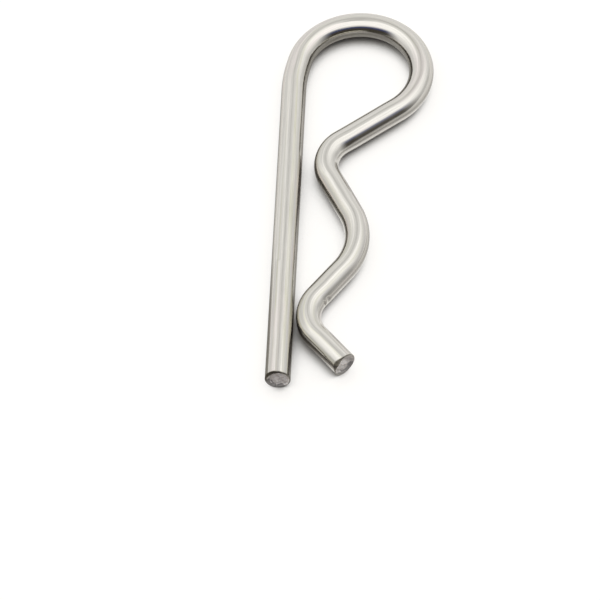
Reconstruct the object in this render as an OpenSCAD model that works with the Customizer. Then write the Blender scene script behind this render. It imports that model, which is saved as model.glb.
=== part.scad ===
// Hitch pin clip, also called an R clip: one length of spring wire, bent flat.
// It lies on the XY plane, with its straight leg along Y and both cut ends towards -Y.
// The straight leg goes through a cross hole in a shaft, and the curved side clasps the shaft.
// Each bend wraps a round forming pin, and each straight run is the common tangent of two
// neighbouring pins, so the wire passes smoothly from bend to run at every setting.

/* [Wire] */
// Diameter of the spring wire
wire_d = 4; // [3.4:0.1:4.6]
// How much thinner the wire is in its bends, where it stretched round the pins
bend_thin = 0.02; // [0.02:0.01:0.1]
// Bevel left round each cut end
end_bevel = 0.3; // [0.1:0.1:0.8]

/* [Shaft seat] */
// Diameter of the space that clasps the shaft
seat_d = 18.6; // [17:0.1:19.4]
// Distance from the straight leg's end to the middle of the shaft
seat_y = 28; // [28:0.5:36]

/* [Throat] */
// Clear gap between the throat bend and the leg
throat_gap = 1.9; // [1:0.1:3]
// Radius of the throat bend, to the middle of the wire
throat_r = 5.9; // [5:0.1:6.2]
// Distance along the leg from the middle of the shaft to that of the throat bend
throat_rise = 14.8; // [14.6:0.1:16]

/* [Loop] */
// Radius of the big loop, to the middle of the wire
loop_r = 10; // [9:0.1:11]
// Distance along the leg from the middle of the shaft to that of the loop
loop_rise = 34.1; // [33.6:0.1:37]
// How far the loop stands in from the leg's line
loop_in = 0.5; // [0.2:0.1:1.5]
// Radius of the gentle bend that leads the leg into the loop
lead_r = 25; // [18:1:35]
// Length of the short straight between that bend and the loop
lead_run = 1; // [0.5:0.1:2]

/* [Nose] */
// Clear gap between the nose and the leg at rest
nose_gap = 0.3; // [0.2:0.1:1.5]
// Radius of the nose bend, to the middle of the wire
nose_r = 6.3; // [5.5:0.1:6.6]
// Distance along the leg from the middle of the shaft to that of the nose bend
nose_drop = 15.5; // [15.4:0.1:16]

/* [Tip] */
// Angle at which the tip flares away from the leg
tip_flare = 40; // [30:1:50]
// Length of the straight tip
tip_len = 7; // [4:0.5:7]

/* [Hidden] */
$fn = 96;

wire_r = wire_d / 2;
bend_d = wire_d - bend_thin;
bend_wire_r = bend_d / 2;

// How far each bend's thinner wire reaches into the runs beside it
BEND_REACH = 0.1;

// The sense in which the wire turns round a pin
LEFT = 1;
RIGHT = -1;

throat_y = seat_y + throat_rise;
nose_y = seat_y - nose_drop;

// The lead-in bend leaves the leg's line and turns towards the loop
loop_x = loop_in + loop_r;
loop_y = seat_y + loop_rise;
lead_y = loop_y - sqrt((lead_r - loop_r) ^ 2 + lead_run ^ 2 - (lead_r - loop_x) ^ 2);

// Forming pins in the order in which the wire meets them: x, y, bend radius, sense
PINS = [
    [lead_r, lead_y, lead_r, RIGHT],
    [loop_x, loop_y, loop_r, RIGHT],
    [wire_r + throat_gap + bend_wire_r + throat_r, throat_y, throat_r, LEFT],
    [0, seat_y, seat_d / 2 + bend_wire_r, RIGHT],
    [wire_r + nose_gap + bend_wire_r + nose_r, nose_y, nose_r, LEFT]
];
LAST = len(PINS) - 1;

// Direction of the straight run from pin a to pin b, in degrees from +X
function run_heading(a, b) =
    let (step = [b.x - a.x, b.y - a.y])
    atan2(step.y, step.x) - asin((b[3] * b[2] - a[3] * a[2]) / norm(step));

LEG_HEADING = 90;
TIP_HEADING = tip_flare - LEG_HEADING;
HEADINGS = [LEG_HEADING, for (i = [1 : LAST]) run_heading(PINS[i - 1], PINS[i]), TIP_HEADING];

// Where a run of the given heading touches a pin
function touch(pin, heading) =
    [pin.x, pin.y] + pin[3] * pin[2] * [sin(heading), -cos(heading)];

tip_end = touch(PINS[LAST], TIP_HEADING) + tip_len * [cos(TIP_HEADING), sin(TIP_HEADING)];

// The clip's box runs from the leg's outer side and cut end to the far sides of the loop
middle_x = (loop_x + loop_r + bend_wire_r - wire_r) / 2;
middle_y = (loop_y + loop_r + bend_wire_r) / 2;

// Puts the children at a point of the wire, with their Z along the heading
module along(point, heading) {
    translate([point.x, point.y, 0])
        rotate([0, 90, heading])
            children();
}

// A straight length of wire from a cut end, which is bevelled, along the heading
module cut_run(point, heading, length) {
    along(point, heading) {
        cylinder(h = end_bevel, d1 = wire_d - 2 * end_bevel, d2 = wire_d);
        translate([0, 0, end_bevel])
            cylinder(h = length - end_bevel, d = wire_d);
    }
}

module bend(pin, heading_in, heading_out) {
    first = pin[3] == RIGHT ? heading_out + 90 : heading_in - 90;
    reach = BEND_REACH / pin[2] * 180 / PI;
    translate([pin.x, pin.y, 0])
        rotate([0, 0, first - reach])
            rotate_extrude(angle = abs(heading_out - heading_in) + 2 * reach)
                translate([pin[2], 0])
                    circle(d = bend_d);
}

module leg() {
    cut_run([0, 0], LEG_HEADING, lead_y);
}

module bends() {
    for (i = [0 : LAST]) {
        bend(PINS[i], HEADINGS[i], HEADINGS[i + 1]);
    }
}

module runs() {
    for (i = [1 : LAST]) {
        start = touch(PINS[i - 1], HEADINGS[i]);
        along(start, HEADINGS[i])
            cylinder(h = norm(touch(PINS[i], HEADINGS[i]) - start), d = wire_d);
    }
}

module tip() {
    cut_run(tip_end, TIP_HEADING + 180, tip_len);
}

module spring_wire() {
    color("silver")
        translate([-middle_x, -middle_y, wire_r]) {
            leg();
            bends();
            runs();
            tip();
        }
}

spring_wire();
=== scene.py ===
"""Looks of a hitch pin clip: one length of drawn spring wire, bent flat round forming pins.

Lengths are in metres. The clip lies on the XY plane, with its straight leg along Y.
The wire is made straight, with its two sheared ends, and is then bent along the path that the
forming pins give, so that every line left by the drawing die follows the wire round its bends.
"""
import math
from collections import namedtuple

import bpy
from bpy.props import FloatProperty, FloatVectorProperty, IntProperty, PointerProperty
from mathutils import Matrix, Vector


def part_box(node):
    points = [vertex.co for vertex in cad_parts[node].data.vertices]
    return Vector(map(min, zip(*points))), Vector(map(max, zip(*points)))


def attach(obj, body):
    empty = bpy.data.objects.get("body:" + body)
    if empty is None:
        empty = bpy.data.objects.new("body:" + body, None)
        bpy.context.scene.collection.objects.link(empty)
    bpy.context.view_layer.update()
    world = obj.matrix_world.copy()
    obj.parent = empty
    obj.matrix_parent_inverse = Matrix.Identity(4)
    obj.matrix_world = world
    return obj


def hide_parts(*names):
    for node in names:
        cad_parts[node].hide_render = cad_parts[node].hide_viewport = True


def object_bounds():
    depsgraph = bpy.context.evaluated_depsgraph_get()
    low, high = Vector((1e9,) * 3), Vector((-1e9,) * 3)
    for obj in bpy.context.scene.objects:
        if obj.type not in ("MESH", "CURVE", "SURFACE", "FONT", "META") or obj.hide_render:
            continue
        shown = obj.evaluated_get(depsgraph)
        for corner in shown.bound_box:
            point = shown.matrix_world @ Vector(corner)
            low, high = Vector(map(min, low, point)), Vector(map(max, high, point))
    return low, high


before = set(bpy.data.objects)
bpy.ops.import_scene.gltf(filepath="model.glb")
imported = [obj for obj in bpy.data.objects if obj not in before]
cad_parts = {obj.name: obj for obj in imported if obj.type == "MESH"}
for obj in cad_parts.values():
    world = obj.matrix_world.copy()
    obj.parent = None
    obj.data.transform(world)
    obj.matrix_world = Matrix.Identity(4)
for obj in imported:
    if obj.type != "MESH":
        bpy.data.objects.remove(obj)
CAD_LOW, CAD_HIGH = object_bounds()
WIRE_LOW, WIRE_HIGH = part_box("spring_wire")

bl_info = {
    "name": "Hitch Pin Clip",
    "version": (1, 0, 0),
    "blender": (4, 5, 0),
    "location": "View3D > Sidebar > Hitch Clip",
    "description": "Bends a hitch pin clip from drawn spring wire and sets its stage",
    "category": "Object",
}

MM = 0.001
CAD_NODE = "spring_wire"
BODY = "root"

# The sense in which the wire turns round a forming pin
LEFT = 1
RIGHT = -1

# Names of what the wire's mesh carries to its material
STRAIGHT = "straight"
BEND = "bend"
CUT = "cut"
EDGE = "edge"
# The streak attribute carries the torn streaks and also the painted shade band of the torn faces
STREAK_AND_SHADE = "streak"


# ---------------------------------------------------------------- sizes and colours


class WireSizes(bpy.types.PropertyGroup):
    """Sizes of the bent wire."""

    wire_d: FloatProperty(
        name="Wire diameter",
        description="Diameter of the spring wire",
        default=round(WIRE_HIGH.z - WIRE_LOW.z, 5),
        unit="LENGTH",
    )
    inset: FloatProperty(
        name="Inset",
        description="How far the visible skin stays inside the solid",
        default=0.006 * MM,
        unit="LENGTH",
    )
    bend_thin: FloatProperty(
        name="Bend thinning",
        description="How much thinner the wire is in its bends",
        default=0.02 * MM,
        unit="LENGTH",
    )
    bend_spread: FloatProperty(
        name="Bend spread",
        description="How far bending spreads the wire's inner side and pinches its outer side",
        default=0.5,
        subtype="FACTOR",
        min=0,
        max=1,
    )
    seat_d: FloatProperty(
        name="Seat diameter",
        description="Diameter of the space that clasps the shaft",
        default=18.6 * MM,
        unit="LENGTH",
    )
    seat_y: FloatProperty(
        name="Seat place",
        description="Distance from the leg's end to the middle of the shaft",
        default=28 * MM,
        unit="LENGTH",
    )
    throat_gap: FloatProperty(
        name="Throat gap",
        description="Clear gap between the throat bend and the leg",
        default=1.9 * MM,
        unit="LENGTH",
    )
    throat_r: FloatProperty(
        name="Throat radius",
        description="Radius of the throat bend, to the middle of the wire",
        default=5.9 * MM,
        unit="LENGTH",
    )
    throat_rise: FloatProperty(
        name="Throat rise",
        description="Distance along the leg from the shaft to the throat bend",
        default=14.8 * MM,
        unit="LENGTH",
    )
    loop_r: FloatProperty(
        name="Loop radius",
        description="Radius of the big loop, to the middle of the wire",
        default=10 * MM,
        unit="LENGTH",
    )
    loop_rise: FloatProperty(
        name="Loop rise",
        description="Distance along the leg from the shaft to the loop",
        default=34.1 * MM,
        unit="LENGTH",
    )
    loop_in: FloatProperty(
        name="Loop set-in",
        description="How far the loop stands in from the leg's line",
        default=0.5 * MM,
        unit="LENGTH",
    )
    lead_r: FloatProperty(
        name="Lead-in radius",
        description="Radius of the gentle bend that leads the leg into the loop",
        default=25 * MM,
        unit="LENGTH",
    )
    lead_run: FloatProperty(
        name="Lead-in run",
        description="Length of the short straight between that bend and the loop",
        default=1 * MM,
        unit="LENGTH",
    )
    nose_gap: FloatProperty(
        name="Nose gap",
        description="Clear gap between the nose and the leg",
        default=0.3 * MM,
        unit="LENGTH",
    )
    nose_r: FloatProperty(
        name="Nose radius",
        description="Radius of the nose bend, to the middle of the wire",
        default=6.3 * MM,
        unit="LENGTH",
    )
    nose_drop: FloatProperty(
        name="Nose drop",
        description="Distance along the leg from the shaft to the nose bend",
        default=15.5 * MM,
        unit="LENGTH",
    )
    tip_flare: FloatProperty(
        name="Tip flare",
        description="Angle at which the tip flares away from the leg",
        default=math.radians(40),
        unit="ROTATION",
    )
    tip_len: FloatProperty(
        name="Tip length",
        description="Length of the straight tip",
        default=7 * MM,
        unit="LENGTH",
    )
    ring_spacing: FloatProperty(
        name="Ring spacing",
        description="Distance between the rings of the wire's mesh",
        default=0.25 * MM,
        unit="LENGTH",
    )
    sides: IntProperty(
        name="Sides",
        description="Number of faces round the wire",
        default=128,
        min=16,
    )


class WireFinish(bpy.types.PropertyGroup):
    """Colours of the drawn steel."""

    steel: FloatVectorProperty(
        name="Steel",
        description="Colour of the bare drawn steel",
        default=(0.66, 0.64, 0.595),
        subtype="COLOR",
    )
    olive: FloatVectorProperty(
        name="Olive film",
        description="Colour where the thin film of drawing soap is left",
        default=(0.56, 0.545, 0.46),
        subtype="COLOR",
    )
    rose: FloatVectorProperty(
        name="Rose film",
        description="Colour of the faint warm heat tint",
        default=(0.68, 0.63, 0.60),
        subtype="COLOR",
    )
    cut_face: FloatVectorProperty(
        name="Cut face",
        description="Colour of the torn metal on the sheared ends",
        default=(0.97, 0.92, 0.87),
        subtype="COLOR",
    )
    # Colour that darkens the rolled edges of the sheared ends
    edge_stain: FloatVectorProperty(
        name="Edge stain",
        description="Colour of the blade's dark residue on the rolled edges",
        default=(0.19, 0.172, 0.135),
        subtype="COLOR",
    )


class StageSetup(bpy.types.PropertyGroup):
    """Camera, floor and light tent."""

    elevation: FloatProperty(
        name="Camera elevation",
        description="Angle of the camera above the floor",
        default=math.radians(52.6),
        unit="ROTATION",
    )
    turn: FloatProperty(
        name="Camera turn",
        description="Angle from the leg's line to the camera's heading",
        default=math.radians(4.9),
        unit="ROTATION",
    )
    roll: FloatProperty(
        name="Camera roll",
        description="How far the camera leans to its side",
        default=math.radians(-3.1),
        unit="ROTATION",
    )
    distance: FloatProperty(
        name="Camera distance",
        description="Distance from the camera to the point that it aims at",
        default=750 * MM,
        unit="LENGTH",
    )
    lens: FloatProperty(
        name="Lens",
        description="Focal length on a 36 mm sensor, in millimetres",
        default=288,
    )
    aim: FloatVectorProperty(
        name="Aim",
        description="Point that the camera aims at",
        default=(-7.44 * MM, -21.47 * MM, 2 * MM),
        subtype="TRANSLATION",
    )
    floor: FloatVectorProperty(
        name="Floor",
        description="Colour of the floor's board",
        default=(0.37, 0.35, 0.315),
        subtype="COLOR",
    )
    # Painted shade: a darker board colour, used only where metal or glass mirrors the floor
    floor_mirrored: FloatVectorProperty(
        name="Floor, mirrored",
        description="Colour of the board where metal mirrors it",
        default=(0.225, 0.21, 0.185),
        subtype="COLOR",
    )
    floor_white: FloatProperty(
        name="Floor white",
        description="Strength of the glow that lifts the open floor to white",
        default=0.68,
    )
    room_low: FloatVectorProperty(
        name="Room, low",
        description="Colour of the dark room low down in the tent's opening",
        default=(0.062, 0.055, 0.044),
        subtype="COLOR",
    )
    room_high: FloatVectorProperty(
        name="Room, high",
        description="Colour of the dark room at the top of the tent's opening",
        default=(0.07, 0.09, 0.22),
        subtype="COLOR",
    )


# ---------------------------------------------------------------- building node trees

# Kinds of sockets on node groups
VECTOR = "NodeSocketVector"
GEOMETRY = "NodeSocketGeometry"
MATERIAL = "NodeSocketMaterial"
FLOAT = "NodeSocketFloat"


class Nodes:
    """A node tree, with short calls that add a node and join its inputs."""

    def __init__(self, tree):
        self.tree = tree

    def add(self, kind, inputs=None, **settings):
        """Adds a node; inputs maps a socket's name or number to a value or to another socket."""
        node = self.tree.nodes.new(kind)
        for name, value in settings.items():
            setattr(node, name, value)
        for key, value in (inputs or {}).items():
            self.join(node.inputs[key], value)
        return node

    def join(self, socket, value):
        """Feeds a socket from another socket, or sets it to a value."""
        if isinstance(value, bpy.types.NodeSocket):
            self.tree.links.new(value, socket)
        else:
            socket.default_value = value

    def math(self, operation, *values, clamp=False):
        node = self.add("ShaderNodeMath", dict(enumerate(values)), operation=operation)
        node.use_clamp = clamp
        return node.outputs[0]

    def times(self, first, second, clamp=False):
        return self.math("MULTIPLY", first, second, clamp=clamp)

    def plus(self, first, second):
        return self.math("ADD", first, second)

    def minus(self, first, second, clamp=False):
        return self.math("SUBTRACT", first, second, clamp=clamp)

    def vector(self, operation, *values):
        node = self.add("ShaderNodeVectorMath", dict(enumerate(values)), operation=operation)
        scalar = operation in ("DOT_PRODUCT", "LENGTH", "DISTANCE")
        return node.outputs["Value" if scalar else "Vector"]

    def dot(self, first, second):
        return self.vector("DOT_PRODUCT", first, second)

    def scaled(self, vector, factor):
        node = self.add("ShaderNodeVectorMath", {0: vector, "Scale": factor}, operation="SCALE")
        return node.outputs["Vector"]

    def combine(self, x, y, z):
        return self.add("ShaderNodeCombineXYZ", {0: x, 1: y, 2: z}).outputs[0]

    def separate(self, vector):
        return self.add("ShaderNodeSeparateXYZ", {0: vector}).outputs

    def grey(self, value):
        return self.combine(value, value, value)

    def facing(self, angle):
        """The direction across the wire that lies at an angle from its left side."""
        return self.combine(self.math("COSINE", angle), self.math("SINE", angle), 0.0)

    def ramp(self, value, low, high, to_low=0.0, to_high=1.0, kind="SMOOTHSTEP"):
        """Maps a value from low..high to to_low..to_high, and holds it beyond them."""
        inputs = {0: value, 1: low, 2: high, 3: to_low, 4: to_high}
        return self.add("ShaderNodeMapRange", inputs, interpolation_type=kind).outputs[0]

    def mix_colour(self, factor, first, second, blend="MIX"):
        inputs = {0: factor, 6: colour(first), 7: colour(second)}
        return self.add("ShaderNodeMix", inputs, data_type="RGBA", blend_type=blend).outputs[2]

    def mix_value(self, factor, first, second):
        return self.add("ShaderNodeMix", {0: factor, 2: first, 3: second}, data_type="FLOAT").outputs[0]

    def noise(self, vector, scale, detail=2.0, roughness=0.5):
        inputs = {"Vector": vector, "Scale": scale, "Detail": detail, "Roughness": roughness}
        return self.add("ShaderNodeTexNoise", inputs, noise_dimensions="3D").outputs[0]


def colour(value):
    """A colour with its alpha, as the sockets want it; sockets pass through."""
    if isinstance(value, bpy.types.NodeSocket):
        return value
    return (*tuple(value)[:3], 1.0)


def new_group(name, inputs, outputs):
    """A Geometry Nodes group: its nodes, what it is given, and its end node.

    Inputs map a name to a number, which becomes the default, or to a kind of socket.
    """
    tree = bpy.data.node_groups.new(name, "GeometryNodeTree")
    for label, default in inputs.items():
        number = not isinstance(default, str)
        kind = default
        if number:
            kind = "NodeSocketInt" if isinstance(default, int) else FLOAT
        socket = tree.interface.new_socket(name=label, in_out="INPUT", socket_type=kind)
        if number:
            socket.default_value = default
    for label, kind in outputs.items():
        tree.interface.new_socket(name=label, in_out="OUTPUT", socket_type=kind)
    nodes = Nodes(tree)
    start = nodes.add("NodeGroupInput")
    end = nodes.add("NodeGroupOutput")
    return nodes, start.outputs, end


# ---------------------------------------------------------------- the wire's path

# A forming pin: its place, its radius to the middle of the wire, and the sense of the turn round it
Pin = namedtuple("Pin", "x y radius sense")
# A stretch of wire: where and which way it starts, its length, and the angle that it turns through
Stretch = namedtuple("Stretch", "start heading length turn")
# Which of the pins forms the loop
LOOP = 1


def forming_pins(sizes):
    """The pins in the order in which the wire meets them, with the leg's end at the origin."""
    wire_r = sizes.wire_d / 2
    bend_wire_r = (sizes.wire_d - sizes.bend_thin) / 2
    loop_x = sizes.loop_in + sizes.loop_r
    loop_y = sizes.seat_y + sizes.loop_rise
    lead_reach = (sizes.lead_r - sizes.loop_r) ** 2 + sizes.lead_run ** 2
    lead_y = loop_y - math.sqrt(lead_reach - (sizes.lead_r - loop_x) ** 2)
    beside_leg = wire_r + bend_wire_r
    return [
        Pin(sizes.lead_r, lead_y, sizes.lead_r, RIGHT),
        Pin(loop_x, loop_y, sizes.loop_r, RIGHT),
        Pin(
            beside_leg + sizes.throat_gap + sizes.throat_r,
            sizes.seat_y + sizes.throat_rise,
            sizes.throat_r,
            LEFT,
        ),
        Pin(0, sizes.seat_y, sizes.seat_d / 2 + bend_wire_r, RIGHT),
        Pin(
            beside_leg + sizes.nose_gap + sizes.nose_r,
            sizes.seat_y - sizes.nose_drop,
            sizes.nose_r,
            LEFT,
        ),
    ]


def run_heading(a, b):
    """Direction of the straight run from pin a to pin b, from +X."""
    step = Vector((b.x - a.x, b.y - a.y))
    return math.atan2(step.y, step.x) - math.asin((b.sense * b.radius - a.sense * a.radius) / step.length)


def touch(pin, heading):
    """Where a run of the given heading touches a pin."""
    side = pin.sense * pin.radius
    return Vector((pin.x + side * math.sin(heading), pin.y - side * math.cos(heading)))


def wire_stretches(sizes):
    """The straight runs and the bends, in order."""
    pins = forming_pins(sizes)
    headings = [math.radians(90)]
    headings += [run_heading(a, b) for a, b in zip(pins, pins[1:])]
    headings += [sizes.tip_flare - math.radians(90)]
    stretches = []
    here = Vector((0, 0))
    for pin, heading, heading_out in zip(pins, headings, headings[1:]):
        there = touch(pin, heading)
        turn = heading_out - heading
        stretches.append(Stretch(here, heading, (there - here).length, 0))
        stretches.append(Stretch(there, heading, pin.radius * abs(turn), turn))
        here = touch(pin, heading_out)
    stretches.append(Stretch(here, headings[-1], sizes.tip_len, 0))
    return stretches


def point_on(stretch, distance):
    """The point at a distance along a stretch."""
    along = Vector((math.cos(stretch.heading), math.sin(stretch.heading)))
    if not stretch.turn:
        return stretch.start + along * distance
    left = Vector((-along.y, along.x))
    radius = stretch.length / stretch.turn
    angle = distance / radius
    return stretch.start + radius * (along * math.sin(angle) + left * (1 - math.cos(angle)))


# How far the wire's section changes before it meets a bend, and the path's point spacing
EASE = 1.6 * MM
PATH_STEP = 0.2 * MM


def wire_path(sizes):
    """Points along the wire's middle, and how sharply it bends at each (in 1/m, left positive)."""
    stretches = wire_stretches(sizes)
    length = sum(s.length for s in stretches)
    count = math.ceil(length / PATH_STEP)
    # The clip's box is centred: it spans from the leg's skin and end to the far sides of the loop
    loop = forming_pins(sizes)[LOOP]
    loop_reach = loop.radius + (sizes.wire_d - sizes.bend_thin) / 2
    centre = Vector(((loop.x + loop_reach - sizes.wire_d / 2) / 2, (loop.y + loop_reach) / 2))
    middle_z = sizes.wire_d / 2 - sizes.inset
    points = []
    sharpness = []
    passed = 0
    for i in range(count + 1):
        distance = length * i / count
        while len(stretches) > 1 and distance > passed + stretches[0].length:
            passed += stretches.pop(0).length
        here = stretches[0]
        points.append((*(point_on(here, distance - passed) - centre), middle_z))
        sharpness.append(here.turn / here.length)
    reach = round(EASE / PATH_STEP)
    eased = []
    for i in range(count + 1):
        window = sharpness[max(0, i - reach): i + reach + 1]
        eased.append(sum(window) / len(window))
    return points, eased


def distance_to(sizes, index):
    """Distance along the wire to the start of a stretch."""
    return sum(s.length for s in wire_stretches(sizes)[:index])


# ---------------------------------------------------------------- shaping the wire

# A facet of a torn face: how steeply it leans to the wire's left and up, and its depth in the middle
Facet = namedtuple("Facet", "left up depth")
# Torn ridges lean up the wire's end: the way they face, their width and their slope
Ridges = namedtuple("Ridges", "angle width slope")
# A torn face: its facets, its ridges, and the way its band of painted shade faces, mostly down towards
# the floor
Tear = namedtuple("Tear", "facets ridges lip")
TEARS = {
    "Leg": Tear(
        [
            Facet(0.04, 0.22, 0.05 * MM),
            Facet(0.24, -0.02, 0.0 * MM),
            Facet(-0.20, 0.08, 0.0 * MM),
            Facet(-0.03, -0.08, -0.02 * MM),
        ],
        Ridges(math.radians(-28), 0.62 * MM, 0.60),
        math.radians(300),
    ),
    "Tip": Tear(
        [
            Facet(0.14, 0.16, 0.06 * MM),
            Facet(0.24, -0.03, 0.0 * MM),
            Facet(-0.02, -0.10, 0.0 * MM),
            Facet(-0.16, 0.05, -0.03 * MM),
        ],
        Ridges(math.radians(8), 0.7 * MM, 0.42),
        math.radians(274),
    ),
}
# How the blade sheared each end: how far it rolled the edge over on its side, the way it came from
# and how narrow its mark is, the burr that it left and the way that faces, and how ragged the roll is
SHEARED = {
    "Leg": {
        "Blade Roll": 0.32 * MM,
        "Blade Angle": math.radians(50),
        "Blade Focus": 1.8,
        "Burr": 0.0,
        "Burr Angle": 0.0,
        "Ragged": 1.1,
    },
    "Tip": {
        "Blade Roll": 0.62 * MM,
        "Blade Angle": math.radians(140),
        "Blade Focus": 7.0,
        "Burr": 0.45 * MM,
        "Burr Angle": math.radians(215),
        "Ragged": 0.45,
    },
}
# All of that by the names of the wire's inputs
END_VALUES = {
    f"{side} {label}": value
    for side, settings in SHEARED.items()
    for label, value in settings.items()
}
# Offsets that give each end its own noise
SEEDS = {"Leg": 3.0, "Tip": 8.0}
# Rings of the mesh on a sheared face
FACE_RINGS = 28
# How far the edge is rolled over all round, and how deep the torn face's grain is
EDGE_ROLL = 0.16 * MM
TORN_DEPTH = 0.16 * MM
# How deep the rolled edge goes, as a share of its width, and how it curves
ROLL_SLOPE = 0.62
ROLL_CURVE = 1.25
# How far in from the skin a burr reaches
BURR_WIDTH = 0.6 * MM
# How far back along the wire its skin moves with the edge, in times the edge's own depth and burr
SKIN_REACH = 4.0
# The painted shade band's width, how much that wanders, and how soft its inner side is
SHADE_BAND_WIDTH = 0.72 * MM
SHADE_BAND_WANDER = 1.1 * MM
SHADE_BAND_SOFT = 0.2 * MM
# How far the ridges' edges wander
RIDGE_WANDER = 0.3 * MM
# Noise on the torn face: how fast it changes along the blade's travel, as a share of how fast it
# does across it, and its scales in 1/m
ALONG_TRAVEL = 0.22
RAGGED_SCALE = 3600.0
STREAK_SCALE = 1500.0


def sheared_end_group(side):
    """How a sheared end sits: rolled over where the blade went in, torn into facets across the rest."""
    facets, ridges, shade_band_angle = TEARS[side]
    nodes, given, end = new_group(
        f"Sheared {side.lower()} end",
        {
            "Across": VECTOR,
            "Depth": 0.0,
            "Wire Radius": 0.0,
            "Edge Roll": 0.0,
            "Grain": 0.0,
            "Seed": 0.0,
            **SHEARED[side],
        },
        {"Depth": FLOAT, "Cut": FLOAT, "Edge": FLOAT, "Streak": FLOAT},
    )
    across = given["Across"]
    radius = given["Wire Radius"]
    out = nodes.vector("LENGTH", across)
    outward = nodes.vector("NORMALIZE", across)
    from_skin = nodes.minus(radius, out)
    cosine = nodes.math("COSINE", given["Blade Angle"])
    sine = nodes.math("SINE", given["Blade Angle"])
    towards = nodes.dot(across, nodes.combine(cosine, sine, 0.0))
    beside = nodes.dot(across, nodes.combine(nodes.times(sine, -1.0), cosine, 0.0))
    # Streaks that run along the blade's travel
    shift = nodes.times(given["Seed"], MM)
    travel = nodes.combine(nodes.times(towards, ALONG_TRAVEL), beside, shift)
    ragged = nodes.minus(nodes.noise(travel, RAGGED_SCALE), 0.5)
    streak = nodes.noise(travel, STREAK_SCALE)
    facing = nodes.math("DIVIDE", towards, nodes.math("MAXIMUM", out, 1e-6))
    lean = nodes.math("POWER", nodes.math("MAXIMUM", facing, 0.0), given["Blade Focus"])
    lean = nodes.math("MAXIMUM", nodes.math("MULTIPLY_ADD", ragged, given["Ragged"], lean), 0.0)
    roll = nodes.math("MULTIPLY_ADD", lean, given["Blade Roll"], given["Edge Roll"])
    inward = nodes.math("DIVIDE", from_skin, roll, clamp=True)
    # The torn face is as deep as the deepest of its facets
    left, up, _ = nodes.separate(across)
    tear = 0.0
    for facet in facets:
        plane = nodes.math("MULTIPLY_ADD", left, facet.left, facet.depth)
        plane = nodes.math("MULTIPLY_ADD", up, facet.up, plane)
        tear = nodes.math("MAXIMUM", tear, plane)
    # Ridges that all lean the same way step down the face, with ragged edges
    uphill = nodes.combine(-math.sin(ridges.angle), math.cos(ridges.angle), 0.0)
    climb = nodes.dot(across, uphill)
    climb = nodes.math("MULTIPLY_ADD", ragged, RIDGE_WANDER, climb)
    # Whole ridges are added, because the modulo needs a positive number
    ridge = nodes.math("MODULO", nodes.plus(climb, 20 * ridges.width), ridges.width)
    tear = nodes.math("MULTIPLY_ADD", ridge, ridges.slope, tear)
    # The roll is steep at the skin, and the facets start where it has run out
    steepness = nodes.math("POWER", nodes.minus(1.0, inward), ROLL_CURVE)
    edge_roll = nodes.times(roll, ROLL_SLOPE)
    rolled = nodes.times(edge_roll, steepness)
    inside = nodes.ramp(nodes.minus(from_skin, roll), -0.05 * MM, 0.5 * MM)
    torn_depth = nodes.math("MULTIPLY_ADD", streak, given["Grain"], tear)
    face_depth = nodes.math("MULTIPLY_ADD", torn_depth, inside, rolled)
    # A burr stands out where the blade left the wire
    over_burr = nodes.dot(outward, nodes.facing(given["Burr Angle"]))
    burr = nodes.math("POWER", nodes.math("MAXIMUM", over_burr, 0.0), 3.0)
    burr = nodes.times(burr, given["Burr"])
    burr_thin = nodes.ramp(from_skin, 0.0, BURR_WIDTH, 1.0, 0.0)
    face_depth = nodes.minus(face_depth, nodes.times(burr, burr_thin))
    # The drawn skin moves with the edge, less and less along the wire
    edge_depth = nodes.minus(edge_roll, burr)
    skin_reach = nodes.times(nodes.plus(edge_roll, burr), SKIN_REACH)
    share = nodes.minus(1.0, nodes.math("DIVIDE", given["Depth"], skin_reach), clamp=True)
    skin_depth = nodes.math("MULTIPLY_ADD", edge_depth, share, given["Depth"])
    on_face = nodes.math("LESS_THAN", out, nodes.times(radius, 0.999))
    nodes.join(end.inputs["Depth"], nodes.mix_value(on_face, skin_depth, face_depth))
    nodes.join(end.inputs["Cut"], nodes.times(nodes.ramp(inward, 0.7, 1.0), on_face))
    at_edge = nodes.math("LESS_THAN", given["Depth"], 0.01 * MM)
    nodes.join(end.inputs["Edge"], nodes.times(nodes.ramp(inward, 0.6, 1.0, 1.0, 0.0), at_edge))
    # Painted shade: the torn metal is painted darker on a ragged band along the rim, on the side that
    # faces mostly down towards the floor
    over_shade_band = nodes.dot(outward, (math.cos(shade_band_angle), math.sin(shade_band_angle), 0.0))
    shade_band_width = nodes.math("MULTIPLY_ADD", ragged, SHADE_BAND_WANDER, SHADE_BAND_WIDTH)
    shade_band_reach = nodes.times(nodes.ramp(over_shade_band, 0.0, 0.75), shade_band_width)
    clear_of_shade_band = nodes.ramp(nodes.minus(from_skin, shade_band_reach), -SHADE_BAND_SOFT, 0.0, 0.15, 1.0)
    fine_streak = nodes.ramp(streak, 0.38, 0.62, 0.5, 1.05, kind="LINEAR")
    nodes.join(end.inputs["Streak"], nodes.times(clear_of_shade_band, fine_streak))
    return nodes.tree


def mark_group(name, settings):
    """A group that reshapes the wire's section, and what every such mark is given."""
    inputs = {"Across": VECTOR, "Distance": 0.0, "Wire Radius": 0.0, "Angle": 0.0}
    inputs.update(dict.fromkeys(settings, 0.0))
    return new_group(name, inputs, {"Across": VECTOR})


def arc_from(nodes, given):
    """How far round the skin a point lies from the middle of a mark."""
    outward = nodes.vector("NORMALIZE", given["Across"])
    towards = nodes.dot(outward, nodes.facing(given["Angle"]))
    return nodes.times(nodes.math("ARCCOSINE", towards), given["Wire Radius"])


def sink(nodes, given, end, depth):
    """Draws the skin in by a depth, towards the wire's middle."""
    kept = nodes.minus(1.0, nodes.math("DIVIDE", depth, given["Wire Radius"]))
    nodes.join(end.inputs["Across"], nodes.scaled(given["Across"], kept))


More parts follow.
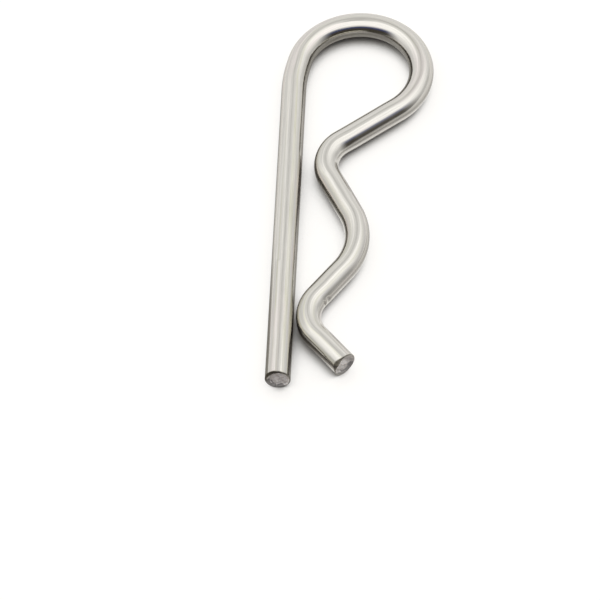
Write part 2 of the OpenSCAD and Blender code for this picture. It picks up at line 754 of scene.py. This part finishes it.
def pressed_flat_group():
    """Presses a flat on the wire's side, as a forming tool leaves it, with soft ends."""
    nodes, given, end = mark_group("Pressed flat", ["Press", "Start", "End", "Fade In", "Fade Out"])
    facing = nodes.facing(given["Angle"])
    after = nodes.ramp(given["Distance"], given["Start"], nodes.plus(given["Start"], given["Fade In"]))
    fades_from = nodes.minus(given["End"], given["Fade Out"])
    before = nodes.ramp(given["Distance"], fades_from, given["End"], 1.0, 0.0)
    press = nodes.times(nodes.times(after, before), given["Press"])
    plane = nodes.minus(given["Wire Radius"], press)
    over = nodes.minus(nodes.dot(given["Across"], facing), plane)
    back = nodes.scaled(facing, nodes.math("MAXIMUM", over, 0.0))
    nodes.join(end.inputs["Across"], nodes.vector("SUBTRACT", given["Across"], back))
    return nodes.tree


def groove_group():
    """Scores a groove along the wire, as the edge of a forming tool leaves it."""
    nodes, given, end = mark_group("Groove", ["Width", "Depth", "Start", "End"])
    arc = arc_from(nodes, given)
    profile = nodes.ramp(arc, 0.0, nodes.times(given["Width"], 0.5), 1.0, 0.0)
    middle = nodes.times(nodes.plus(given["Start"], given["End"]), 0.5)
    half = nodes.times(nodes.minus(given["End"], given["Start"]), 0.5)
    away = nodes.math("ABSOLUTE", nodes.minus(given["Distance"], middle))
    fading = nodes.ramp(away, nodes.times(half, 0.6), half, 1.0, 0.0)
    sink(nodes, given, end, nodes.times(nodes.times(profile, fading), given["Depth"]))
    return nodes.tree


def nick_group():
    """Dents the wire with a short nick across it, where two clips knocked together."""
    nodes, given, end = mark_group("Nick", ["Place", "Width", "Length", "Depth"])
    arc = arc_from(nodes, given)
    away = nodes.math("ABSOLUTE", nodes.minus(given["Distance"], given["Place"]))
    across = nodes.ramp(arc, 0.0, nodes.times(given["Length"], 0.5), 1.0, 0.0)
    profile = nodes.ramp(away, 0.0, nodes.times(given["Width"], 0.5), 1.0, 0.0, kind="LINEAR")
    sink(nodes, given, end, nodes.times(nodes.times(profile, across), given["Depth"]))
    return nodes.tree


# Marks on the wire: which stretch they follow, their angle round the wire from the side that faces
# left along it, and their sizes; start, end and place are measured from the start of that stretch
Flat = namedtuple("Flat", "name stretch angle press start end fade_in fade_out")
Groove = namedtuple("Groove", "name stretch angle width depth start end")
Nick = namedtuple("Nick", "name stretch angle place width length depth")
FLATS = [
    Flat("clamp", 0, math.radians(64), 0.08 * MM, 22 * MM, 54 * MM, 0.3 * MM, 24 * MM),
    Flat("throat crown", 5, math.radians(112), 0.045 * MM, 0.5 * MM, 8.3 * MM, 3 * MM, 0.6 * MM),
    Flat("nose crown", 9, math.radians(120), 0.05 * MM, 1 * MM, 8.5 * MM, 2.5 * MM, 2.5 * MM),
]
GROOVES = [
    Groove("tip side", 10, math.radians(151), 0.36 * MM, 0.035 * MM, -2.5 * MM, 5.2 * MM),
    Groove("nose side", 9, math.radians(93), 0.3 * MM, 0.012 * MM, 3 * MM, 9.5 * MM),
]
NICKS = [
    Nick("nose nick, first", 9, math.radians(10), -0.55 * MM, 0.8 * MM, 1.9 * MM, 0.2 * MM),
    Nick("nose nick, second", 9, math.radians(12), 0.7 * MM, 0.8 * MM, 1.5 * MM, 0.18 * MM),
]
PLACES = ("start", "end", "place")


def mark_values(sizes, mark):
    """A mark's sizes by the names of its group's inputs, with its places along the whole wire."""
    begin = distance_to(sizes, mark.stretch)
    values = {}
    for field, value in mark._asdict().items():
        if field in PLACES:
            value += begin
        if field not in ("name", "stretch"):
            values[field.replace("_", " ").title()] = value
    return values


def bent_wire_group(sizes, values):
    """Makes the wire straight, shears its ends, and bends it along the path."""
    inputs = {"Path": GEOMETRY, "Material": MATERIAL, **values}
    nodes, given, end = new_group("Bent wire", inputs, {"Wire": GEOMETRY})

    def store(mesh, name, value, data_type="FLOAT"):
        kind = "GeometryNodeStoreNamedAttribute"
        inputs = {"Geometry": mesh, "Name": name, "Value": value}
        return nodes.add(kind, inputs, data_type=data_type, domain="POINT").outputs[0]

    radius = nodes.times(given["Wire Diameter"], 0.5)
    curve = nodes.add("GeometryNodeMeshToCurve", {0: given["Path"]}).outputs[0]
    length = nodes.add("GeometryNodeCurveLength", {0: curve}).outputs[0]
    wire = nodes.add(
        "GeometryNodeMeshCylinder",
        {
            "Vertices": given["Sides"],
            "Side Segments": nodes.math("DIVIDE", length, given["Ring Spacing"]),
            "Fill Segments": given["Face Rings"],
            "Radius": radius,
            "Depth": length,
        },
        fill_type="TRIANGLE_FAN",
    ).outputs["Mesh"]
    # The cylinder's middle is at the origin, so its start moves there
    from_middle = nodes.separate(nodes.add("GeometryNodeInputPosition").outputs[0])
    from_leg_end = nodes.math("MULTIPLY_ADD", length, 0.5, from_middle[2])
    depths = {"Leg": from_leg_end, "Tip": nodes.minus(length, from_leg_end)}
    sheared = {}
    for side, settings in SHEARED.items():
        inputs = {
            "Across": nodes.combine(from_middle[0], from_middle[1], 0.0),
            "Depth": depths[side],
            "Wire Radius": radius,
            "Edge Roll": given["Edge Roll"],
            "Grain": given["Grain"],
            "Seed": SEEDS[side],
            **{label: given[f"{side} {label}"] for label in settings},
        }
        group = sheared_end_group(side)
        sheared[side] = nodes.add("GeometryNodeGroup", inputs, node_tree=group).outputs
    past_half = nodes.math("GREATER_THAN", from_middle[2], 0.0)
    from_tip = nodes.minus(length, sheared["Tip"]["Depth"])
    settled = nodes.mix_value(past_half, sheared["Leg"]["Depth"], from_tip)
    for name, label in ((CUT, "Cut"), (EDGE, "Edge"), (STREAK_AND_SHADE, "Streak")):
        value = nodes.mix_value(past_half, sheared["Leg"][label], sheared["Tip"][label])
        wire = store(wire, name, value)
    straight = nodes.combine(from_middle[0], from_middle[1], settled)
    wire = store(wire, STRAIGHT, straight, "FLOAT_VECTOR")
    wire = nodes.add("GeometryNodeSetPosition", {"Geometry": wire, "Position": straight}).outputs[0]
    # Where each point of the straight wire comes to lie on the path
    at = nodes.separate(nodes.add("GeometryNodeInputPosition").outputs[0])
    sharpness = nodes.add("GeometryNodeInputNamedAttribute", {"Name": BEND}, data_type="FLOAT").outputs[0]
    sample = nodes.add(
        "GeometryNodeSampleCurve",
        {"Curves": curve, "Value": sharpness, "Length": at[2]},
        mode="LENGTH",
        data_type="FLOAT",
    )
    bend = sample.outputs["Value"]
    section = nodes.combine(at[0], at[1], 0.0)
    for make_group, marks in ((pressed_flat_group, FLATS), (groove_group, GROOVES), (nick_group, NICKS)):
        group = make_group()
        for mark in marks:
            inputs = {"Across": section, "Distance": at[2], "Wire Radius": radius}
            inputs.update(mark_values(sizes, mark))
            node = nodes.add("GeometryNodeGroup", inputs, node_tree=group, label=mark.name)
            section = node.outputs["Across"]
    side, up, _ = nodes.separate(section)
    # Bending spreads the inner side and pinches the outer side: half of the strain across it
    half_bend = nodes.times(nodes.times(bend, 0.5), given["Bend Spread"])
    squares = nodes.minus(nodes.times(side, side), nodes.times(up, up))
    squares = nodes.minus(squares, nodes.times(radius, radius))
    side_bent = nodes.plus(nodes.times(squares, half_bend), side)
    # The wire lies no thicker than it was drawn
    strain = nodes.times(nodes.math("ABSOLUTE", half_bend), radius)
    kept = nodes.minus(1.0, nodes.times(nodes.times(strain, strain), 0.5))
    widened = nodes.math("MULTIPLY_ADD", half_bend, side, 1.0)
    up_bent = nodes.times(nodes.times(up, widened), kept)
    # It is drawn a little thinner by the bend
    full_bend = nodes.times(nodes.math("ABSOLUTE", bend), radius, clamp=True)
    thinner = nodes.math("DIVIDE", given["Bend Thinning"], given["Wire Diameter"])
    slim = nodes.minus(1.0, nodes.times(thinner, nodes.ramp(full_bend, 0.0, 0.15)))
    left = nodes.vector("CROSS_PRODUCT", (0.0, 0.0, 1.0), sample.outputs["Tangent"])
    reach_side = nodes.scaled(left, nodes.times(side_bent, slim))
    reach_up = nodes.combine(0.0, 0.0, nodes.times(up_bent, slim))
    place = nodes.vector("ADD", sample.outputs["Position"], nodes.vector("ADD", reach_side, reach_up))
    wire = nodes.add("GeometryNodeSetPosition", {"Geometry": wire, "Position": place}).outputs[0]
    wire = nodes.add("GeometryNodeRealizeInstances", {0: wire}).outputs[0]
    inputs = {"Geometry": wire, "Material": given["Material"]}
    wire = nodes.add("GeometryNodeSetMaterial", inputs).outputs[0]
    nodes.join(end.inputs["Wire"], wire)
    return nodes.tree


def set_inputs(modifier, values):
    """Sets a modifier's inputs by their names, through the sockets' identifiers."""
    for item in modifier.node_group.interface.items_tree:
        if item.item_type == "SOCKET" and item.in_out == "INPUT" and item.name in values:
            modifier[item.identifier] = values[item.name]


def bend_wire(context):
    """The clip's wire as one closed mesh, in place of the CAD solid."""
    sizes = context.scene.clip_wire
    points, sharpness = wire_path(sizes)
    path_mesh = bpy.data.meshes.new("wire_path")
    path_mesh.from_pydata(points, [(i, i + 1) for i in range(len(points) - 1)], [])
    bends = path_mesh.attributes.new(BEND, "FLOAT", "POINT")
    bends.data.foreach_set("value", sharpness)
    path = bpy.data.objects.new("wire_path", path_mesh)
    context.scene.collection.objects.link(path)
    values = {
        "Wire Diameter": sizes.wire_d - 2 * sizes.inset,
        "Bend Thinning": sizes.bend_thin,
        "Bend Spread": sizes.bend_spread,
        "Ring Spacing": sizes.ring_spacing,
        "Sides": sizes.sides,
        "Face Rings": FACE_RINGS,
        "Edge Roll": EDGE_ROLL,
        "Grain": TORN_DEPTH,
        **END_VALUES,
    }
    modifier = path.modifiers.new("Bent wire", "NODES")
    modifier.node_group = bent_wire_group(sizes, values)
    set_inputs(modifier, {"Material": drawn_steel(context.scene.clip_finish), **values})
    context.view_layer.update()
    graph = context.evaluated_depsgraph_get()
    mesh = bpy.data.meshes.new_from_object(path.evaluated_get(graph), depsgraph=graph)
    bpy.data.objects.remove(path)
    mesh.name = "drawn_wire"
    mesh.polygons.foreach_set("use_smooth", [True] * len(mesh.polygons))
    mesh.set_sharp_from_angle(angle=math.radians(42))
    wire = bpy.data.objects.new("drawn_wire", mesh)
    context.scene.collection.objects.link(wire)
    return wire


# ---------------------------------------------------------------- the drawn steel

# A layer of noise on the steel: how fast it changes along the wire, as a share of how fast it does
# across it, its scale in 1/m, and its detail and roughness
Layer = namedtuple("Layer", "along scale detail roughness")
OLIVE_STREAKS = Layer(0.012, 1400.0, 1.0, 0.5)
MOTTLING = Layer(0.09, 900.0, 2.0, 0.5)
ROSE_SPOTS = Layer(0.09, 800.0, 2.0, 0.5)
DIE_LINES = Layer(0.006, 9000.0, 3.0, 0.6)
SCUFFS = Layer(0.05, 6000.0, 2.0, 0.6)
SLOW_WAVES = Layer(0.15, 700.0, 2.0, 0.5)
PATCHES = Layer(1.0, 260.0, 3.0, 0.5)
TORN_GRAIN = Layer(1.0, 2200.0, 3.0, 0.55)
# How far the rose spots are moved, so that they don't fall in with the mottling
ROSE_SHIFT = 10 * MM
# Heights of what the bump shows
LINE_HEIGHT = 0.0035 * MM
SCUFF_HEIGHT = 0.004 * MM
WAVE_HEIGHT = 0.028 * MM
TORN_HEIGHT = 0.1 * MM
# Torn steel scatters more light than it mirrors
TORN_METALLIC = 0.15


def drawn_steel(finish):
    """Bright drawn stainless steel, with torn grey metal on the sheared faces."""
    material = bpy.data.materials.new("drawn_steel")
    material.use_nodes = True
    nodes = Nodes(material.node_tree)
    shader = material.node_tree.nodes["Principled BSDF"]
    straight = nodes.add("ShaderNodeAttribute", attribute_name=STRAIGHT).outputs["Vector"]
    cut, edge, streak = (
        nodes.add("ShaderNodeAttribute", attribute_name=name).outputs["Fac"]
        for name in (CUT, EDGE, STREAK_AND_SHADE)
    )

    def noise(layer, shift=0.0):
        drawn_out = nodes.vector("MULTIPLY", straight, (1.0, 1.0, layer.along))
        if shift:
            drawn_out = nodes.vector("ADD", drawn_out, (shift, 0.0, 0.0))
        return nodes.noise(drawn_out, layer.scale, layer.detail, layer.roughness)

    olive = nodes.ramp(noise(OLIVE_STREAKS), 0.5, 0.66)
    mottle = nodes.ramp(noise(MOTTLING), 0.35, 0.65)
    rose = nodes.ramp(noise(ROSE_SPOTS, ROSE_SHIFT), 0.5, 0.7)
    fine = noise(DIE_LINES)
    scuffs = noise(SCUFFS)
    grain = noise(TORN_GRAIN)
    # The skin: steel under a patchy film
    film = nodes.times(olive, nodes.math("MULTIPLY_ADD", mottle, 0.6, 0.4))
    skin = nodes.mix_colour(film, finish.steel, finish.olive)
    skin = nodes.mix_colour(nodes.times(rose, 0.7), skin, finish.rose)
    fine_shade = nodes.ramp(fine, 0.3, 0.7, 0.92, 1.05, kind="LINEAR")
    scuff_shade = nodes.ramp(scuffs, 0.3, 0.7, 0.95, 1.04, kind="LINEAR")
    shade = nodes.times(fine_shade, scuff_shade)
    skin = nodes.mix_colour(1.0, skin, nodes.grey(shade), blend="MULTIPLY")
    # The torn faces, and the darker rolled edges
    grain_shade = nodes.ramp(grain, 0.35, 0.65, 0.9, 1.05)
    # The streak attribute darkens the painted shade band as well as the torn streaks
    streak_and_shade_tone = nodes.ramp(streak, 0.1, 0.95, 0.42, 1.25, kind="LINEAR")
    torn_shade = nodes.times(grain_shade, streak_and_shade_tone)
    torn = nodes.mix_colour(1.0, finish.cut_face, nodes.grey(torn_shade), blend="MULTIPLY")
    darkening = nodes.times(edge, nodes.ramp(scuffs, 0.3, 0.7, 0.7, 1.0))
    base = nodes.mix_colour(darkening, nodes.mix_colour(cut, skin, torn), finish.edge_stain)
    nodes.join(shader.inputs["Base Color"], base)
    nodes.join(shader.inputs["Metallic"], nodes.mix_value(cut, 1.0, TORN_METALLIC))
    mottle_rough = nodes.ramp(mottle, 0.0, 1.0, 0.08, 0.13, kind="LINEAR")
    patch_rough = nodes.ramp(noise(PATCHES), 0.45, 0.75, 0.0, 0.05)
    skin_rough = nodes.math("MULTIPLY_ADD", edge, 0.22, nodes.plus(mottle_rough, patch_rough))
    torn_rough = nodes.ramp(grain, 0.35, 0.65, 0.42, 0.55)
    nodes.join(shader.inputs["Roughness"], nodes.mix_value(cut, skin_rough, torn_rough))
    # Die lines, short scuffs and slow waves, and the coarse grain of the torn faces
    lines = nodes.times(nodes.minus(fine, 0.5), LINE_HEIGHT)
    waves = nodes.times(noise(SLOW_WAVES), WAVE_HEIGHT)
    skin_height = nodes.plus(nodes.plus(lines, nodes.times(scuffs, SCUFF_HEIGHT)), waves)
    height = nodes.mix_value(cut, skin_height, nodes.times(grain, TORN_HEIGHT))
    bump = nodes.add("ShaderNodeBump", {"Height": height, "Distance": 1.0, "Strength": 1.0})
    nodes.join(shader.inputs["Normal"], bump.outputs[0])
    return material


# ---------------------------------------------------------------- stage

# The way the floor's painted shadow leans: occlusion is measured towards high up behind the clip
PAINTED_SHADOW_TILT = (0.0, 0.6, 0.8)
# How far away the wire still casts that painted shadow
SHADE_REACH = 30 * MM
# The middle of the loop, on the floor
LOOP_MIDDLE = (0.25 * MM, 25.1 * MM, 0.0)
# Half of the floor's width, and how it shines, from above and in reflections
FLOOR_REACH = 5.0
FLOOR_ROUGHNESS = 0.22
FLOOR_IOR = 1.5
FLOOR_IOR_MIRRORED = 2.2
# The tent's size, and the faces round it and up its side
TENT_RADIUS = 1.1
TENT_COLUMNS = 72
TENT_ROWS = 20
# The height of the dim spot near the top of the tent, as an angle
CROWN_RISE = math.radians(80)


def place_camera(stage, context):
    """The camera, aimed and leaned as the stage's values say."""
    data = bpy.data.cameras.new("camera")
    data.lens = stage.lens
    data.sensor_width = 36
    data.clip_start = 0.05
    data.clip_end = 20
    camera = bpy.data.objects.new("camera", data)
    context.scene.collection.objects.link(camera)
    flat = math.cos(stage.elevation)
    back = Vector((flat * math.sin(stage.turn), -flat * math.cos(stage.turn), math.sin(stage.elevation)))
    right = Vector((math.cos(stage.turn), math.sin(stage.turn), 0))
    up = back.cross(right)
    leaned_right = right * math.cos(stage.roll) + up * math.sin(stage.roll)
    leaned_up = up * math.cos(stage.roll) - right * math.sin(stage.roll)
    turned = Matrix((leaned_right, leaned_up, back)).transposed()
    camera.matrix_world = Matrix.Translation(Vector(stage.aim) + back * stage.distance) @ turned.to_4x4()
    context.scene.camera = camera


def stage_surface(name):
    """A material with an empty tree, and its nodes."""
    material = bpy.data.materials.new(name)
    material.use_nodes = True
    material.node_tree.nodes.clear()
    return material, Nodes(material.node_tree)


def stage_mesh(context, name, verts, faces, material):
    """A mesh of the stage, as an object."""
    mesh = bpy.data.meshes.new(name)
    mesh.from_pydata(verts, [], faces)
    mesh.materials.append(material)
    surface = bpy.data.objects.new(name, mesh)
    context.scene.collection.objects.link(surface)
    return surface


def white_floor(stage):
    """Satin board with a glow that lifts it to white for the camera; where the wire occludes it the glow
    is held back, a painted shadow.

    What metal or glass shows of it is set apart by the kind of ray: there the glow comes in steps, with
    painted shade and a painted bright band on the floor, and the board is painted darker, so that the
    wire keeps its dark edges.
    """
    material, nodes = stage_surface("white_floor")
    sky = nodes.add("ShaderNodeAmbientOcclusion", {"Distance": SHADE_REACH}, samples=16)
    nodes.join(sky.inputs["Normal"], nodes.combine(*PAINTED_SHADOW_TILT))
    open_sky = sky.outputs["AO"]
    sees = nodes.add("ShaderNodeLightPath").outputs
    mirrored = nodes.math("MAXIMUM", sees["Is Glossy Ray"], sees["Is Transmission Ray"])
    # Painted shadow: the camera's white glow is held back where the wire occludes the floor
    white_direct = nodes.times(sees["Is Camera Ray"], nodes.ramp(open_sky, 0.16, 0.54))
    place = nodes.add("ShaderNodeTexCoord").outputs["Object"]
    right, ahead, _ = nodes.separate(place)
    # In reflections the white glow is faint beside the wire and strong where the floor lies open: painted
    # shade near the wire
    beside = nodes.ramp(open_sky, 0.35, 0.75, 0.0, 0.12)
    clear = nodes.ramp(open_sky, 0.82, 0.92, 0.0, 0.6)
    # Painted shade: most of the reflected white is held back in front on the right
    on_right = nodes.ramp(right, 9 * MM, 17 * MM)
    shaded = nodes.times(on_right, nodes.ramp(ahead, -4 * MM, 12 * MM, 1.0, 0.0))
    clear = nodes.times(clear, nodes.math("MULTIPLY_ADD", shaded, -0.75, 1.0))
    # A painted bright band lies next to the wire on its right, but not inside the loop
    painted_band_start = nodes.ramp(open_sky, 0.33, 0.42)
    painted_band = nodes.times(painted_band_start, nodes.ramp(open_sky, 0.45, 0.85, 1.15, 0.0))
    painted_band = nodes.times(painted_band, nodes.ramp(right, -6 * MM, -2 * MM))
    from_loop = nodes.vector("DISTANCE", place, LOOP_MIDDLE)
    painted_band = nodes.times(painted_band, nodes.ramp(from_loop, 7 * MM, 9 * MM))
    white_mirrored = nodes.plus(nodes.plus(beside, clear), painted_band)
    # Painted shade: in reflections the board is duller in front on the left
    on_left = nodes.ramp(right, -15 * MM, -10.5 * MM, 1.0, 0.0)
    painted_dull = nodes.times(on_left, nodes.ramp(ahead, -22 * MM, -4 * MM, 1.0, 0.0))
    shiny = nodes.times(mirrored, nodes.minus(1.0, painted_dull))
    white = nodes.math("MULTIPLY_ADD", shiny, white_mirrored, white_direct)
    # In reflections the board is painted darker than it looks from above, a painted shade, but shinier
    board = nodes.add(
        "ShaderNodeBsdfPrincipled",
        {
            "Base Color": nodes.mix_colour(mirrored, stage.floor, stage.floor_mirrored),
            "Roughness": FLOOR_ROUGHNESS,
            "IOR": nodes.mix_value(shiny, FLOOR_IOR, FLOOR_IOR_MIRRORED),
        },
    )
    glow = nodes.add("ShaderNodeEmission", {"Strength": nodes.times(white, stage.floor_white)})
    both = nodes.add("ShaderNodeAddShader", {0: board.outputs[0], 1: glow.outputs[0]})
    nodes.add("ShaderNodeOutputMaterial", {"Surface": both.outputs[0]})
    return material


def lay_floor(stage, context):
    """A large flat floor under the clip."""
    corners = [(-1, -1), (1, -1), (1, 1), (-1, 1)]
    verts = [(x * FLOOR_REACH, y * FLOOR_REACH, CAD_LOW.z) for x, y in corners]
    floor = stage_mesh(context, "floor", verts, [(0, 1, 2, 3)], white_floor(stage))


def tent_cloth(stage):
    """The tent's glow: brightest overhead, even behind and at the sides, dark at its opening.

    Angles are in degrees: side is how far a place lies right of straight ahead, rise how high up.
    """
    material, nodes = stage_surface("tent_cloth")
    direction = nodes.vector("NORMALIZE", nodes.add("ShaderNodeTexCoord").outputs["Object"])
    right = (math.cos(stage.turn), math.sin(stage.turn), 0.0)
    ahead = (-math.sin(stage.turn), math.cos(stage.turn), 0.0)
    rightward = nodes.dot(direction, right)
    forward = nodes.dot(direction, ahead)
    side = nodes.math("DEGREES", nodes.math("ARCTAN2", rightward, forward))
    left_side = nodes.times(side, -1.0)
    off_axis = nodes.math("ABSOLUTE", side)
    rise = nodes.math("DEGREES", nodes.math("ARCSINE", nodes.separate(direction)[2]))
    level = nodes.ramp(rise, 8.0, 62.0, 0.86, 1.45)
    # Low down it is a little brighter ahead and falls off at the sides, most on the right
    ahead_gain = nodes.ramp(off_axis, 30.0, 60.0, 0.1, 0.0)
    right_loss = nodes.ramp(side, 45.0, 75.0, 0.0, -0.2)
    left_loss = nodes.ramp(left_side, 40.0, 70.0, 0.0, -0.07)
    change = nodes.plus(ahead_gain, nodes.plus(right_loss, left_loss))
    low_down = nodes.ramp(rise, 8.0, 34.0, 1.0, 0.0)
    level = nodes.times(level, nodes.math("MULTIPLY_ADD", change, low_down, 1.0))
    # Between the two brightest parts of the cloth it is dimmer, most along the seam
    near_axis = nodes.ramp(off_axis, 18.0, 42.0, 1.0, 0.0)
    between = nodes.times(near_axis, nodes.ramp(rise, 28.0, 46.0))
    level = nodes.mix_value(between, level, 0.97)
    on_axis = nodes.ramp(off_axis, 3.0, 13.0, 1.0, 0.0)
    seam = nodes.times(on_axis, nodes.ramp(rise, 42.0, 50.0))
    level = nodes.mix_value(seam, level, 0.78)
    crown = (math.cos(CROWN_RISE) * ahead[0], math.cos(CROWN_RISE) * ahead[1], math.sin(CROWN_RISE))
    over_crown = nodes.dot(direction, crown)
    from_crown = nodes.math("DEGREES", nodes.math("ARCCOSINE", over_crown))
    level = nodes.mix_value(nodes.ramp(from_crown, 4.0, 12.0, 1.0, 0.0), level, 0.76)
    # The opening on the camera's side shows a dark room
    low = nodes.ramp(rise, 36.0, 55.0, 1.0, 0.0)
    past_left = nodes.ramp(left_side, 88.0, 126.0)
    past_right = nodes.ramp(side, 82.0, 132.0)
    opening = nodes.times(low, nodes.math("MAXIMUM", past_left, past_right))
    dusk = nodes.mix_colour(nodes.ramp(rise, 20.0, 42.0), stage.room_low, stage.room_high)
    shade = nodes.mix_colour(opening, nodes.grey(level), dusk)
    glow = nodes.add("ShaderNodeEmission", {"Color": shade, "Strength": 1.0})
    nodes.add("ShaderNodeOutputMaterial", {"Surface": glow.outputs[0]})
    return material


def pitch_tent(stage, context):
    """A round tent of white cloth over the floor, which the camera sees through."""
    verts = []
    for j in range(TENT_ROWS):
        rise = math.radians(90) * j / TENT_ROWS
        flat = TENT_RADIUS * math.cos(rise)
        for i in range(TENT_COLUMNS):
            side = math.radians(360) * i / TENT_COLUMNS
            verts.append((flat * math.cos(side), flat * math.sin(side), TENT_RADIUS * math.sin(rise)))
    verts.append((0, 0, TENT_RADIUS))
    top = len(verts) - 1
    faces = []
    for i in range(TENT_COLUMNS):
        after = (i + 1) % TENT_COLUMNS
        for j in range(TENT_ROWS - 1):
            low = j * TENT_COLUMNS
            high = low + TENT_COLUMNS
            faces.append((low + i, high + i, high + after, low + after))
        faces.append((top - TENT_COLUMNS + i, top, top - TENT_COLUMNS + after))
    tent = stage_mesh(context, "light_tent", verts, faces, tent_cloth(stage))
    tent.visible_camera = False


def light_world(context):
    """Plain white beyond the tent."""
    world = bpy.data.worlds.new("white_room")
    world.use_nodes = True
    background = world.node_tree.nodes["Background"].inputs
    background["Color"].default_value = (1, 1, 1, 1)
    background["Strength"].default_value = 1.0
    context.scene.world = world


# ---------------------------------------------------------------- operators and panel


class HITCHCLIP_OT_bend_wire(bpy.types.Operator):
    """Bend the clip's wire and put it in place of the CAD solid"""

    bl_idname = "hitch_clip.bend_wire"
    bl_label = "Bend Wire"

    def execute(self, context):
        wire = bend_wire(context)
        if not wire.data.polygons:
            raise RuntimeError("the wire has no faces")
        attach(wire, BODY)
        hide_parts(CAD_NODE)
        return {"FINISHED"}


class HITCHCLIP_OT_set_stage(bpy.types.Operator):
    """Lay the floor, pitch the light tent over it and place the camera"""

    bl_idname = "hitch_clip.set_stage"
    bl_label = "Set Stage"

    def execute(self, context):
        stage = context.scene.clip_stage
        context.scene.view_settings.view_transform = "Standard"
        lay_floor(stage, context)
        pitch_tent(stage, context)
        light_world(context)
        place_camera(stage, context)
        return {"FINISHED"}


class HITCHCLIP_PT_panel(bpy.types.Panel):
    """Sidebar panel of the hitch pin clip"""

    bl_label = "Hitch Pin Clip"
    bl_idname = "HITCHCLIP_PT_panel"
    bl_space_type = "VIEW_3D"
    bl_region_type = "UI"
    bl_category = "Hitch Clip"

    def draw(self, context):
        for operator in OPERATORS:
            self.layout.operator(operator.bl_idname)
        for name in SETTINGS:
            group = getattr(context.scene, name)
            box = self.layout.box()
            for key in group.__annotations__:
                box.prop(group, key)


OPERATORS = [HITCHCLIP_OT_bend_wire, HITCHCLIP_OT_set_stage]
SETTINGS = {"clip_wire": WireSizes, "clip_finish": WireFinish, "clip_stage": StageSetup}
CLASSES = [*SETTINGS.values(), *OPERATORS, HITCHCLIP_PT_panel]


def register():
    for cls in CLASSES:
        bpy.utils.register_class(cls)
    for name, cls in SETTINGS.items():
        setattr(bpy.types.Scene, name, PointerProperty(type=cls))


def unregister():
    for name in SETTINGS:
        delattr(bpy.types.Scene, name)
    for cls in reversed(CLASSES):
        bpy.utils.unregister_class(cls)


def main():
    register()
    bpy.ops.hitch_clip.bend_wire()
    bpy.ops.hitch_clip.set_stage()


if __name__ == "__main__":
    main()
